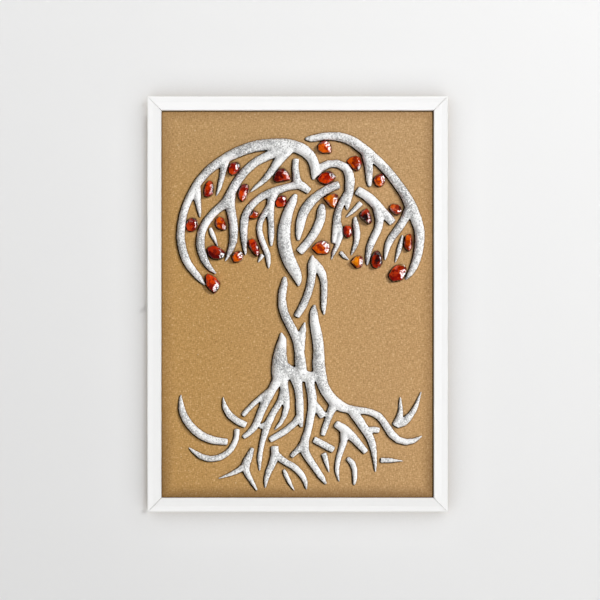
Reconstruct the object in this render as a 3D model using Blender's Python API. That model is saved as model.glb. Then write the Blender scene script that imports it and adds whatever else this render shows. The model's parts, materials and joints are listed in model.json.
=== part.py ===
"""A framed clay tree of life.

Hand-rolled white clay strands and amber chips stand on a kraft-faced board. The board sits in the
rebate of a mitred white wooden frame, under a hardboard back that two turn buttons hold in. A D-ring
riveted to the back hangs it up.

Lengths are millimetres and become metres through MM. +X is right, +Z is up, and the front faces -Y.
The origin is the middle of the frame's underside, half way through its depth.
"""

import math
import random

import bmesh
import bpy
from mathutils import Matrix, Vector

MM = 0.001
GAP = 0.3  # air left between pieces that rest on each other

# Frame moulding, seen in section from its outer edge to its sight edge
FRAME_WIDTH = 227.0
FRAME_HEIGHT = 314.0
FRAME_DEPTH = 13.0
FACE_WIDTH = 10.5
FLAT_BAND = 4.5  # outer band of the face, parallel to the wall
SIGHT_RISE = 1.2  # the inner band climbs this much towards the sight edge
LIP_OVERHANG = 2.5
LIP_THICKNESS = 6.1
OUTER_ROUND = 0.8
SIGHT_ROUND = 0.5

# Boards in the rebate
BOARD_WIDTH = 210.0
BOARD_HEIGHT = 297.0
BOARD_THICKNESS = 3.0

# Turn buttons on the long rails
BUTTON_LENGTH = 18.0  # pivot to tip, plus the round end behind the pivot
BUTTON_WIDTH = 7.6
BUTTON_THICKNESS = 1.0
SCREW_SHANK_R = 1.1
SCREW_LENGTH = 8.0
SCREW_HEAD_R = 2.9
SCREW_HEAD_HEIGHT = 1.7

# Hanger on the back panel
STRAP_WIDTH = 9.0
STRAP_LENGTH = 17.0
STRAP_THICKNESS = 0.8
RING_WIRE_R = 0.9
RING_BAR_HALF = 6.1
RING_ARC_R = 7.6
HANGER_HEIGHT = 287.0  # height of the ring's pivot
RIVET_SHANK_R = 1.5
RIVET_HEAD_R = 2.7
RIVET_DROP = 6.5  # from the ring's pivot down to the rivet

# Relief
ROLL_STEP = 4.6  # distance between sections along a clay roll
ROLL_SIDES = 5  # facets across the round top of a clay roll
CHIP_THICKNESS = 4.6

# Depths that follow from the sizes above
FRONT_Y = -FRAME_DEPTH / 2
BACK_Y = FRAME_DEPTH / 2
PANEL_Y = BACK_Y - GAP - BOARD_THICKNESS / 2
ART_Y = PANEL_Y - BOARD_THICKNESS - GAP
RELIEF_Y = ART_Y - BOARD_THICKNESS / 2 - GAP
MID_HEIGHT = FRAME_HEIGHT / 2
RAIL_BACK_WIDTH = FACE_WIDTH - LIP_OVERHANG
PIVOT_X = FRAME_WIDTH / 2 - RAIL_BACK_WIDTH / 2
PANEL_BACK_Y = PANEL_Y + BOARD_THICKNESS / 2
CURL_MID_R = RING_WIRE_R + GAP + STRAP_THICKNESS / 2
CURL_Y = PANEL_BACK_Y + GAP + STRAP_THICKNESS / 2 + CURL_MID_R

# Each clay piece is a list of rolls, and each roll runs through (x, height, width) points. A first or
# last width of 3 mm or more is a cut end, and a smaller one is a rolled point.
CLAY = {
    "clay_crown_left_arch": [
        # outer arch: left tip, over the top, down to the dip in the middle
        [(-70, 171.5, 1.5), (-73.6, 176, 4.4), (-79.6, 183, 5.6), (-84.4, 190.5, 6.0), (-88, 203, 6.3),
         (-88.2, 215, 6.2), (-85.4, 229, 6.0), (-80.4, 240.5, 6.2), (-74.4, 250.5, 6.2), (-65.5, 260, 6.8),
         (-54.8, 267.2, 7.6), (-44, 272.8, 8.0), (-30, 277, 8.4), (-15, 278.3, 8.6), (-3, 276.8, 9.0),
         (5.5, 273, 8.8), (11, 267, 8.0), (13.2, 260, 7.2), (12.6, 254.5, 5.0), (11.8, 251.3, 2.0)],
        # hump to the right of the dip, and its long drop
        [(13.6, 256, 5.0), (17.5, 260.2, 6.4), (23.5, 263.3, 6.0), (30, 263.7, 6.0), (36, 260.6, 6.4),
         (39.3, 254.5, 7.2), (39.5, 247, 7.2), (38.6, 239, 6.4), (37.8, 233, 4.6), (37.6, 228.3, 1.8)],
        [(37, 240, 5.0), (33.4, 234, 5.2), (30.7, 227, 5.4), (29.8, 220, 6.2), (28.5, 213, 4.4),
         (27.4, 207, 3.4), (27, 203.3, 2.4)],
        [(30.3, 219, 5.0), (32.3, 213.5, 4.6), (32.5, 209, 4.6), (30.4, 202.5, 3.9), (27.3, 196, 2.9),
         (25.5, 190.5, 1.0)],
        # two twigs under the outer arch
        [(-76.5, 246, 6.0), (-76, 239, 5.8), (-75, 232, 4.2), (-74.2, 227, 3.0), (-73.9, 222.5, 1.2)],
        [(-54.5, 266, 6.5), (-56.2, 259, 5.0), (-57.7, 251, 4.2), (-59.6, 244, 3.0), (-61.7, 238.6, 1.0)],
        # inner branch and its two prongs
        [(-10, 274.5, 8.0), (-22, 269.6, 6.8), (-31, 265, 6.5), (-38.5, 259, 6.5), (-45, 251, 6.6),
         (-50, 242, 7.0), (-54, 234.5, 8.0), (-61, 228.6, 6.2), (-68.3, 220.5, 6.2), (-72.9, 211, 6.4),
         (-73.4, 201, 6.4), (-70.8, 191.5, 5.8), (-66, 184, 4.0), (-61.6, 180, 1.5)],
        [(-50.5, 240, 7.5), (-51, 231, 7.2), (-49.2, 222, 6.6), (-48.3, 213, 6.6), (-48.7, 205, 6.0),
         (-50.8, 198, 4.6), (-53.2, 192.5, 2.6), (-55, 189.3, 1.0)],
        # short branch from the crown's top
        [(-6, 275, 8.0), (-12, 268.5, 7.4), (-16.5, 262.5, 6.4), (-21, 256, 5.2), (-26.5, 250, 4.2),
         (-31.5, 245.8, 3.2), (-36, 241.8, 1.2)],
    ],
    "clay_crown_inner_left": [
        [(-1.2, 267.3, 4.6), (-1.6, 260, 5.2), (-1, 254, 5.8), (0, 248, 7.0)],
        [(-1, 248.6, 7.0), (4, 246.3, 6.4), (9.1, 242.4, 5.2)],
        [(0.5, 247.5, 6.6), (-8, 245.7, 5.6), (-18, 242.2, 6.4), (-27, 238.6, 5.5), (-34.3, 232.4, 5.6),
         (-39.3, 224.5, 6.0), (-40.7, 214, 5.8), (-40.3, 205, 4.6), (-39.7, 198, 3.0), (-39.3, 194, 1.2)],
        [(-17, 242, 6.5), (-20, 235, 6.2), (-20.6, 227, 5.8), (-20, 218, 4.7), (-19.8, 209, 4.4),
         (-19.9, 200.8, 1.6)],
        [(-20.5, 232, 5.6), (-25, 225.5, 4.6), (-28.4, 218.5, 4.4), (-28.6, 210.5, 4.6),
         (-25.4, 201.5, 4.6), (-22.4, 194, 4.3), (-21.8, 188, 3.2), (-22, 184, 1.4)],
    ],
    "clay_crown_right_arch": [
        [(5.6, 282.2, 1.5), (10, 282.3, 4.8), (18, 283.8, 5.6), (27, 284.3, 6.4), (36, 282.8, 7.2),
         (44, 278.8, 7.6), (52, 272.6, 8.0), (60, 266.1, 7.2), (68.4, 257.6, 7.0), (75.5, 248.5, 7.2),
         (81.4, 240, 7.6), (85.8, 231, 9.0), (89.8, 221.5, 8.4), (92.4, 212, 7.6), (92.3, 203, 7.2),
         (91.2, 195, 6.8), (88.3, 186, 5.8), (84.8, 179.5, 4.0), (81.6, 175.5, 1.2)],
        [(51.5, 271.5, 7.0), (53.6, 264, 6.8), (54.2, 256, 5.7), (54.2, 250, 4.4), (54.8, 246, 2.4)],
        [(84.5, 229, 7.0), (81, 221.5, 6.4), (76.2, 214, 6.2), (71.3, 207.5, 5.8), (68.2, 201, 5.0),
         (66.8, 195, 3.4), (66.2, 190.3, 1.4)],
    ],
    "clay_crown_right_fork": [
        [(44.9, 243.4, 6.8), (52, 239.3, 7.2), (59, 232.8, 7.6), (65.5, 225.9, 6.8), (72.3, 218.7, 6.0)],
        [(60, 231, 7.0), (62, 223, 6.8), (61.2, 215, 6.2), (58, 208, 6.0), (54.8, 200.5, 5.2),
         (53.2, 193, 4.0), (52.6, 186.5, 1.6)],
    ],
    "clay_crown_upper_strand": [
        [(31.6, 247.6, 6.2), (25, 245.3, 6.4), (17, 240.6, 6.5), (9.5, 233.8, 7.2), (4.2, 225.5, 7.4),
         (2, 216.5, 6.8), (0.9, 210, 5.0), (0.7, 205.3, 2.2)],
    ],
    "clay_crown_lower_strand": [
        [(18.6, 233, 3.0), (18.3, 228.5, 6.6), (17.2, 220.5, 7.0), (13.5, 212, 6.8), (8, 204, 6.6),
         (1.2, 196.4, 6.2)],
    ],
    "clay_crown_right_twig": [
        [(43.4, 223.4, 2.4), (44, 218.5, 4.6), (45.2, 211, 4.8), (44.4, 203.5, 4.2), (42.4, 198, 2.8),
         (40.4, 193.8, 1.0)],
    ],
    "clay_crown_right_wedge": [
        [(36.5, 222.7, 1.4), (42, 227.6, 3.2), (48.2, 233.9, 4.4)],
    ],
    "clay_trunk_s_strand": [
        [(-1.2, 240.4, 3.0), (-3.2, 236, 6.2), (-7.4, 226, 7.8), (-10, 214, 9.6), (-10, 203, 10.4),
         (-7.2, 192, 10.2), (-2.6, 183, 9.2), (0.4, 176, 6.2), (0.9, 170.5, 1.5)],
    ],
    "clay_trunk_fork": [
        [(11.2, 194.2, 1.8), (11, 189, 6.0), (11, 182, 6.2), (10.2, 174, 6.0), (8, 165.5, 5.8),
         (4.2, 156, 5.8), (-1, 147.6, 5.2)],
        [(11.6, 191, 4.5), (14.6, 186.5, 6.2), (18.5, 180.5, 6.4), (20.2, 172, 5.2), (20, 162, 5.0),
         (19.8, 154, 3.8), (20.2, 148.8, 1.3)],
    ],
    "clay_trunk_and_roots": [
        # left trunk strand, with the spur beside it
        [(-9.6, 178, 2.6), (-10, 173, 5.5), (-11.6, 164.5, 6.2), (-11.4, 156, 6.6), (-8.8, 147, 6.6),
         (-4.2, 138.5, 6.8), (-0.4, 130, 7.2), (1.5, 121, 7.4), (2.2, 112, 8.4), (3, 103, 9.0)],
        [(5.5, 143.6, 1.2), (4.4, 138.5, 4.6), (2.8, 131, 6.5), (2, 122, 7.0)],
        # right trunk strand, running on into the long right root
        [(12.8, 156.8, 1.8), (12.2, 151, 5.8), (12.8, 143.5, 7.2), (14.8, 133, 8.2), (16.2, 122, 8.4),
         (16, 112, 9.6), (17.2, 103, 9.4), (19.6, 95, 8.4), (24, 87.5, 8.2), (29.5, 81.7, 9.0),
         (38, 77.8, 6.4), (47, 76.6, 5.4), (55, 75.4, 5.0), (61.8, 72, 5.4), (66.8, 65.5, 5.6),
         (71, 59, 5.8), (76, 54.4, 5.4), (82.5, 52.5, 4.8), (88.5, 53.8, 3.6), (94.4, 57.4, 1.0)],
        # left lobe and the web of clay that joins the strands above the roots
        [(-12.4, 135.6, 1.5), (-11.4, 131, 6.0), (-12.6, 124, 8.5), (-13.4, 115, 11.5), (-13, 106, 13.4),
         (-12.6, 99, 12.6)],
        [(-11, 109, 10.0), (-4, 104.8, 10.0), (4, 103, 9.0), (11, 102.4, 7.0), (17, 104, 8.0)],
        # first root on the left, with its upper prong
        [(-14.5, 101, 8.0), (-18.8, 93, 6.8), (-23.2, 85.5, 7.0), (-26.5, 78, 6.0), (-29.8, 70, 5.6),
         (-33, 63.3, 5.3), (-37, 59.2, 4.4), (-41.2, 56.3, 3.6)],
        [(-21.5, 91, 5.5), (-28, 86.1, 4.2), (-35, 80, 4.0), (-41.6, 72.8, 4.0)],
        # second root: a loop, and the long prong it sends down
        [(-10.5, 101, 6.0), (-10, 93, 6.4), (-9, 85, 6.6), (-8.2, 79, 4.9), (-10, 72.5, 4.1),
         (-13.2, 66.5, 3.2), (-17.6, 61.8, 1.2)],
        [(-10.8, 91, 5.4), (-13, 83.5, 5.0), (-17.6, 76, 5.0), (-21.5, 68.5, 5.6), (-24.2, 61, 5.4),
         (-26.8, 52, 4.2), (-28.4, 42.5, 4.0), (-28.7, 35.5, 2.8), (-28.7, 30.6, 1.2)],
        [(-23.2, 66.6, 4.0), (-26.6, 65, 3.6), (-29, 63.6, 3.0)],
        # third root: straight down, with a prong curling left
        [(-1.5, 102, 9.0), (0.6, 93, 6.4), (1.6, 84, 6.0), (1.8, 75, 5.8), (2.4, 68.5, 4.4), (3, 63.6, 2.0)],
        [(1.6, 73, 5.2), (-1.5, 67.6, 5.2), (-6.5, 63.3, 5.2), (-12.5, 59, 5.0), (-21.2, 54, 4.5)],
        # fourth root, its foot's two prongs and the stub on its side
        [(9, 104, 8.6), (9.6, 95, 7.0), (11.2, 86, 7.0), (10.8, 77.5, 6.2), (9.4, 68.5, 5.8),
         (7.6, 60.5, 5.6), (5.2, 52, 6.8), (5.6, 45.5, 6.6), (9.5, 38.8, 5.6), (14.5, 31.5, 5.0),
         (19, 25, 4.2), (21.6, 20.6, 1.8)],
        [(4, 50.6, 6.0), (0.5, 47, 4.6), (-4.9, 41.7, 3.6)],
        [(11.5, 83, 5.6), (15.5, 77.6, 6.0), (19.8, 72, 6.0)],
        # right root: the prong under its shoulder, and the branch with a stub
        [(28, 82, 7.5), (25, 75, 5.8), (21.8, 66.5, 4.6), (18.9, 57.7, 4.0)],
        [(40, 78, 6.5), (45.5, 70.5, 7.0), (50.5, 63, 6.4), (54.8, 56, 6.0), (57.4, 48, 5.0),
         (58.6, 39, 3.4), (59, 30, 1.3)],
        [(54, 61.5, 5.0), (58.5, 62, 4.8), (62.2, 61.4, 4.4)],
    ],
    "clay_root_far_left_arc": [
        [(-88.4, 88.8, 1.0), (-88.4, 83, 3.6), (-87, 75, 5.4), (-82, 66, 6.0), (-74, 58.5, 6.3),
         (-64.5, 54.2, 6.0), (-53, 52.7, 5.2)],
    ],
    "clay_root_left_spur": [
        [(-56.4, 87, 0.9), (-55.2, 80, 3.8), (-51.6, 73.5, 5.0), (-46, 68.8, 5.2), (-38.8, 65.4, 5.0)],
    ],
    "clay_root_left_hook": [
        [(-45.8, 62.6, 4.4), (-46.6, 55, 4.4), (-50.5, 47, 4.8), (-57.5, 41.7, 4.6), (-66, 40, 4.6),
         (-73.5, 42, 4.2), (-79, 45.8, 2.8), (-82.6, 48.6, 0.9)],
    ],
    "clay_root_left_y": [
        [(-34.2, 48.3, 3.2), (-36.5, 42, 5.2), (-39.2, 35.5, 6.6), (-38.8, 30.5, 5.0), (-35, 23.5, 3.6),
         (-30.6, 15.8, 1.6)],
        [(-39.5, 35, 5.6), (-44.5, 31.3, 4.2), (-51.5, 28, 3.0), (-60.4, 24.9, 0.9)],
    ],
    "clay_root_middle_y": [
        [(-17.4, 49.8, 5.8), (-17, 43.5, 6.4), (-18.8, 37, 5.8), (-22.2, 29.5, 4.6), (-24, 22.5, 3.2),
         (-24.4, 17.6, 1.2)],
        [(-16, 43, 5.6), (-11, 38.6, 5.0), (-4, 34.8, 4.8), (2, 29.4, 4.8), (6, 22.5, 3.8),
         (6.8, 16.5, 1.2)],
    ],
    "clay_root_middle_sliver": [
        [(-10.6, 32, 2.0), (-9, 28.3, 3.5), (-6.2, 22.5, 3.2), (-2.4, 15.9, 1.0)],
    ],
    "clay_root_right_tee": [
        [(28.6, 66.8, 5.4), (34, 63.3, 7.0), (40, 58, 7.0), (46, 51.8, 5.6), (51.9, 44.9, 4.4)],
        [(35.5, 60, 6.4), (35, 53, 5.6), (32.6, 45.5, 4.6), (30.4, 37.5, 4.0), (30, 30.5, 3.4),
         (31.5, 22.5, 1.2)],
    ],
    "clay_root_right_bar": [
        [(12.3, 54.7, 5.0), (19.8, 50.8, 5.2), (27.3, 46.6, 5.0)],
    ],
    "clay_root_right_wedge": [
        [(19.8, 44.2, 4.6), (21.6, 38.5, 3.8), (23.2, 33, 2.4), (24, 29.5, 0.9)],
    ],
    "clay_root_right_hook": [
        [(37.8, 40.6, 3.4), (41.4, 37, 4.6), (43.4, 31.5, 4.2), (43.4, 25, 3.6), (42.8, 20, 2.0)],
    ],
    "clay_root_far_right_v": [
        [(73.8, 65, 5.4), (77, 70.5, 5.4), (78.2, 77, 3.6), (77.8, 83, 2.6), (77.8, 87, 1.0)],
        [(74.8, 65.4, 5.2), (80.5, 67.8, 6.2), (86, 73.5, 4.8), (90, 80.5, 3.6), (93.7, 91, 1.0)],
    ],
}

# Amber chips from the top down: (x, height) of the middle, colour, and the corners of the outline about it.
ORANGE, HONEY, RED, DARK = "orange", "honey", "red", "dark"
CHIPS = [
    (20.5, 275.6, ORANGE, [(-4.9, 1.5), (-2, 4.6), (0.6, 5.2), (3.6, 3.4), (4.9, 0.8), (5, -4), (-1.5, -4.2),
                           (-4.5, -2)]),
    (43.9, 263.6, ORANGE, [(-6.8, 1.8), (-4.6, 4), (-0.2, 5.5), (2.8, 4.4), (4.6, 0.4), (3, -4.4),
                           (1.4, -5.6), (-2.6, -3.6)]),
    (-48, 259.4, RED, [(-4.1, 0.4), (-2.4, 4.2), (0.8, 5), (3.2, 5), (4.7, 2.6), (3.6, -1.4), (1, -3.8),
                       (-1.4, -4.7), (-3.7, -2.8)]),
    (-11.2, 254.6, DARK, [(-7, -3.6), (-5.8, 1.8), (-3.6, 4.2), (-0.6, 5.2), (1.2, 5), (4.2, 1.8), (6.1, -3),
                          (1, -3.8), (-4.6, -5)]),
    (22.2, 252.6, RED, [(-7.3, -0.8), (-4.4, 3), (0.4, 4.9), (2.6, 5), (7, 0.8), (4.6, -2), (0.4, -4.5),
                        (-2.8, -4.4), (-5.6, -2.8)]),
    (61.8, 250.7, ORANGE, [(-4.3, 0), (-3, 3), (-0.4, 4.4), (2.2, 5), (4, 2.2), (4.2, -1), (2.8, -3.6),
                           (0.2, -4.8), (-2.8, -3.4)]),
    (-66.8, 244.4, RED, [(0.2, 6.5), (2.4, 5), (3.4, 1), (2.8, -3.8), (-1.2, -6.4), (-3.6, -5.2),
                         (-3.8, -0.8), (-2.3, 4)]),
    (-41.2, 241.6, RED, [(2.6, 6.4), (-0.4, 5.6), (-2.9, 2.6), (-3.7, -2), (-2.6, -5), (-0.4, -7.2),
                         (1.6, -5), (3.4, -1.4), (4.4, 2.8), (4, 5.2)]),
    (25.6, 235.4, HONEY, [(-6, 2), (-3, 3.8), (0.2, 4.9), (3.2, 5.4), (5, 4.2), (4.6, -0.4), (2.4, -5.6),
                          (-0.8, -4.2)]),
    (-12.4, 235, RED, [(-4.1, -1.2), (-3.2, 2.2), (0.6, 4.6), (3.4, 3.4), (4.2, -0.4), (2, -4), (-3, -4.2)]),
    (74, 228.8, ORANGE, [(-4.5, 1.6), (-3, 3.7), (2, 4), (4.2, 2.2), (4.7, -1.2), (2.6, -4.1), (0.2, -3.6),
                         (-3.2, -1)]),
    (-32.5, 224.9, ORANGE, [(-4, -1.6), (-0.6, 3.1), (3.2, 1), (2.2, -2), (0, -3.2), (-3.4, -2.6)]),
    (51.5, 223.4, DARK, [(0.8, 5.8), (-2.6, 4.2), (-4.4, 1.6), (-3.8, -0.6), (0.4, -4.2), (2.8, -6.1),
                         (4.8, -3.8), (4, 1), (2.6, 4.2)]),
    (-57.8, 218, ORANGE, [(-1.4, 5.2), (-3.6, 3.4), (-4.4, -0.4), (-2.8, -3.4), (1.6, -5), (4.2, -4),
                          (3.4, 0.4), (1.4, 4.2)]),
    (-80, 217.4, RED, [(-0.2, 5.3), (-3.4, 3), (-4.6, -0.6), (-3.2, -4.4), (0.2, -5.2), (3, -3.6),
                       (4.3, -0.2), (2.9, 4.2)]),
    (38.2, 212, RED, [(-2, 4.7), (-3.7, 2.4), (-3.3, -1.6), (-0.6, -4.8), (1.8, -3.8), (3.4, -1), (2.8, 2.6),
                      (1.2, 4.2)]),
    (83.6, 203.6, ORANGE, [(1.8, 6.6), (-1.8, 5.2), (-3.2, 0.2), (-2.6, -3.6), (0.6, -6.6), (2.6, -4.6),
                           (3.4, -0.4), (2.9, 4.2)]),
    (18, 200, ORANGE, [(-7.2, -0.6), (-3.6, 3.2), (0.8, 5.2), (3.6, 4.4), (6.4, 1.8), (6, -2.8), (4.6, -5),
                       (-2.8, -4.8)]),
    (-33.4, 199.9, RED, [(-3.8, 5.4), (-0.6, 6.6), (1.8, 4.8), (4.2, 0), (4.6, -4.6), (3.2, -6.8),
                         (0.2, -4.6), (-3.4, 0.8)]),
    (-62.2, 196, DARK, [(-6.2, 3.4), (-2, 5.5), (0.6, 4.8), (4.6, 2.4), (7.4, 0), (6, -3.6), (2.6, -5.1),
                        (-2.4, -4.4), (-5.2, -1.8)]),
    (-45.4, 193, ORANGE, [(-4.3, -0.2), (-2.2, 3.2), (1.2, 4.3), (3.4, 3.2), (4.1, 0.2), (3, -2.6), (0.4, -4),
                          (-2.8, -4)]),
    (59.8, 191.2, DARK, [(1.4, 7.3), (-1.4, 5.6), (-3.6, 1.6), (-4.3, -2.4), (-2.8, -5.8), (-0.4, -6.9),
                         (2.6, -5.4), (4.4, -2.8), (3.6, 2.4)]),
    (45, 188.8, HONEY, [(-4.8, 0.2), (-1.4, 4.2), (2.2, 4.7), (4, 3.6), (4.3, -0.4), (3.4, -3.6),
                        (-0.2, -4.7)]),
    (75.8, 181, RED, [(-7, -2), (-4, 3), (0.8, 6.7), (4.2, 6.2), (6.5, 3.8), (5.6, -1.4), (3.2, -5.8),
                      (-3.6, -6.8), (-5.8, -4.6)]),
    (-64.2, 172.6, RED, [(-4, 7.3), (-5.4, 5), (-4.6, -1.8), (-2.6, -4), (1.6, -7.5), (4.2, -3.6), (5.6, 0.2),
                         (2.4, 4.4), (-1.6, 6.6)]),
]

# How a chip narrows: (share of the outline, share of the thickness), from the board outwards
CHIP_LEVELS = [(0.88, 0.0), (1.0, 0.32), (0.93, 0.66), (0.58, 1.0)]


def clear_scene():
    for old in list(bpy.data.objects):
        bpy.data.objects.remove(old)


def material(name, colour, roughness, metallic=0.0, transmission=0.0):
    made = bpy.data.materials.new(name)
    made.use_nodes = True
    surface = made.node_tree.nodes["Principled BSDF"]
    surface.inputs["Base Color"].default_value = (*colour, 1.0)
    surface.inputs["Roughness"].default_value = roughness
    surface.inputs["Metallic"].default_value = metallic
    surface.inputs["Transmission Weight"].default_value = transmission
    return made


def new_object(name, mesh_data, finish=None, collection=None):
    """Links a bmesh as a named object, with its faces turned outwards."""
    bmesh.ops.recalc_face_normals(mesh_data, faces=mesh_data.faces)
    bmesh.ops.scale(mesh_data, vec=(MM, MM, MM), verts=mesh_data.verts)
    mesh = bpy.data.meshes.new(name)
    mesh_data.to_mesh(mesh)
    mesh_data.free()
    if finish:
        mesh.materials.append(finish)
    made = bpy.data.objects.new(name, mesh)
    (collection or bpy.context.scene.collection).objects.link(made)
    return made


def at_pivot(obj, pivot):
    """Moves an object's origin to pivot, in millimetres, without moving its shape."""
    point = Vector(pivot) * MM
    obj.data.transform(Matrix.Translation(-point))
    obj.location = point


def round_shading(obj, angle=35.0):
    obj.data.shade_smooth()
    obj.data.set_sharp_from_angle(angle=math.radians(angle))


def cut(obj, cutter):
    """Cuts cutter out of obj and hides the cutter."""
    cutter.hide_render = True
    cutter.display_type = "WIRE"
    boolean = obj.modifiers.new("cut_" + cutter.name, "BOOLEAN")
    boolean.operation = "DIFFERENCE"
    boolean.solver = "EXACT"
    boolean.object = cutter


def tube_between(name, rings, finish=None, collection=None):
    """A closed solid through equal rings of points, in order."""
    shape = bmesh.new()
    loops = [[shape.verts.new(point) for point in ring] for ring in rings]
    count = len(rings[0])
    for near, far in zip(loops, loops[1:]):
        for i in range(count):
            j = (i + 1) % count
            shape.faces.new((near[i], near[j], far[j], far[i]))
    shape.faces.new(loops[0])
    shape.faces.new(loops[-1])
    return new_object(name, shape, finish, collection)


def turned(name, profile, centre, finish=None, sides=20):
    """A solid of revolution about the Y line through centre. Profile is (radius, y) from end to end."""
    rings = []
    for radius, y in profile:
        ring = []
        for i in range(sides):
            angle = 2 * math.pi * i / sides
            ring.append((centre[0] + radius * math.cos(angle), y, centre[1] + radius * math.sin(angle)))
        rings.append(ring)
    made = tube_between(name, rings, finish)
    round_shading(made)
    return made


def box(name, low, high, finish=None):
    corners = [(low[0], low[2]), (high[0], low[2]), (high[0], high[2]), (low[0], high[2])]
    rings = [[(x, y, z) for x, z in corners] for y in (low[1], high[1])]
    return tube_between(name, rings, finish)


def arc(centre, radius, start, end, steps):
    """Points on an arc in a plane, angles in degrees."""
    points = []
    for i in range(steps + 1):
        angle = math.radians(start + (end - start) * i / steps)
        points.append((centre[0] + radius * math.cos(angle), centre[1] + radius * math.sin(angle)))
    return points


# Frame


def moulding_profile():
    """The rail in section: (distance in from the outer edge, depth behind the highest front line)."""
    outer = arc((OUTER_ROUND, SIGHT_RISE + OUTER_ROUND), OUTER_ROUND, 180, 270, 3)
    sight = arc((FACE_WIDTH - SIGHT_ROUND, SIGHT_ROUND), SIGHT_ROUND, 270, 360, 3)
    return (
        [(0.0, FRAME_DEPTH)]
        + outer
        + [(FLAT_BAND, SIGHT_RISE)]
        + sight
        + [
            (FACE_WIDTH, LIP_THICKNESS),
            (RAIL_BACK_WIDTH, LIP_THICKNESS),
            (RAIL_BACK_WIDTH, FRAME_DEPTH),
        ]
    )


def rail(name, side, finish):
    """One length of moulding, mitred at both ends. Side is bottom, top, left or right."""
    upright = side in ("left", "right")
    half_length = (FRAME_HEIGHT if upright else FRAME_WIDTH) / 2
    setback = GAP / math.sqrt(2)
    place = {
        "bottom": lambda along, inward: (along, inward),
        "top": lambda along, inward: (along, FRAME_HEIGHT - inward),
        "left": lambda along, inward: (-FRAME_WIDTH / 2 + inward, MID_HEIGHT + along),
        "right": lambda along, inward: (FRAME_WIDTH / 2 - inward, MID_HEIGHT + along),
    }[side]
    rings = []
    for end in (-1, 1):
        ring = []
        for inward, depth in moulding_profile():
            x, z = place(end * (half_length - inward - setback), inward)
            ring.append((x, FRONT_Y + depth, z))
        rings.append(ring)
    made = tube_between(name, rings, finish)
    round_shading(made)
    return made


def board(name, middle_y, finish):
    """A board the size of the rebate, less its clearance."""
    low_z = MID_HEIGHT - BOARD_HEIGHT / 2
    half = BOARD_THICKNESS / 2
    return box(
        name,
        (-BOARD_WIDTH / 2, middle_y - half, low_z),
        (BOARD_WIDTH / 2, middle_y + half, low_z + BOARD_HEIGHT),
        finish,
    )


# Turn buttons


def turn_button(name, side, finish):
    """A steel tongue with a round end about its pivot. Side is -1 for the left rail, 1 for the right."""
    pivot = (side * PIVOT_X, MID_HEIGHT)
    radius = BUTTON_WIDTH / 2
    reach = BUTTON_LENGTH - BUTTON_WIDTH
    outline = arc((0, 0), radius, -90, 90, 8) + arc((-reach, 0), radius, 90, 270, 8)
    near = BACK_Y + GAP
    rings = []
    for y in (near, near + BUTTON_THICKNESS):
        rings.append([(pivot[0] + side * x, y, pivot[1] + z) for x, z in outline])
    tongue = tube_between(name, rings, finish)
    hole_r = SCREW_SHANK_R + GAP
    past = 1.0
    hole = turned(
        name + "_hole", [(hole_r, near - past), (hole_r, near + BUTTON_THICKNESS + past)], pivot
    )
    cut(tongue, hole)
    at_pivot(tongue, (pivot[0], near, pivot[1]))
    return tongue


def turn_screw(name, side, finish):
    """A pan-head screw with a cross drive, pointing into the rail."""
    pivot = (side * PIVOT_X, MID_HEIGHT)
    seat = BACK_Y + GAP + BUTTON_THICKNESS + GAP
    tip = seat - SCREW_LENGTH
    blunt = 0.25
    point_length = 2.4
    head = arc((0, seat), 1.0, 0, 90, 4)
    profile = [(blunt, tip), (SCREW_SHANK_R, tip + point_length), (SCREW_SHANK_R, seat)]
    for across, up in head:
        profile.append((max(across * SCREW_HEAD_R, blunt), seat + (up - seat) * SCREW_HEAD_HEIGHT))
    screw = turned(name, profile, pivot, finish)
    slot_half, slot_reach, slot_depth = 0.35, 1.5, 0.9
    top = seat + SCREW_HEAD_HEIGHT
    for label, wide, tall in (("a", slot_reach, slot_half), ("b", slot_half, slot_reach)):
        slot = box(
            name + "_slot_" + label,
            (pivot[0] - wide, top - slot_depth, pivot[1] - tall),
            (pivot[0] + wide, top + slot_depth, pivot[1] + tall),
        )
        cut(screw, slot)
    return screw


def screw_hole(obj, side):
    """Bores the rail for its turn screw."""
    radius = SCREW_SHANK_R + GAP
    bottom = BACK_Y + 2 * GAP + BUTTON_THICKNESS - SCREW_LENGTH - GAP
    past = 1.0
    hole = turned(obj.name + "_bore", [(radius, bottom), (radius, BACK_Y + past)], (side * PIVOT_X, MID_HEIGHT))
    cut(obj, hole)


# Hanger


def hanger_strap(finish):
    """A steel strap that lies on the back panel and curls round the ring's bar at its top."""
    flat_y = PANEL_BACK_Y + GAP + STRAP_THICKNESS / 2
    curl = arc((CURL_Y, HANGER_HEIGHT), CURL_MID_R, 180, -100, 14)
    centre_line = [(flat_y, HANGER_HEIGHT - STRAP_LENGTH)] + curl
    half = STRAP_THICKNESS / 2
    left, right = [], []
    for i, point in enumerate(centre_line):
        before = Vector(centre_line[max(i - 1, 0)])
        after = Vector(centre_line[min(i + 1, len(centre_line) - 1)])
        along = (after - before).normalized()
        if i == 1:
            along = Vector((0, 1))
        across = Vector((-along.y, along.x)) * half
        left.append(Vector(point) + across)
        right.append(Vector(point) - across)
    outline = left + right[::-1]
    rings = [[(x, p.x, p.y) for p in outline] for x in (-STRAP_WIDTH / 2, STRAP_WIDTH / 2)]
    strap = tube_between("hanger_strap", rings, finish)
    hole_r = RIVET_SHANK_R + GAP
    past = 1.0
    hole = turned(
        "hanger_strap_hole",
        [(hole_r, PANEL_BACK_Y - past), (hole_r, flat_y + past)],
        (0, HANGER_HEIGHT - RIVET_DROP),
    )
    cut(strap, hole)
    return strap


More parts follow.
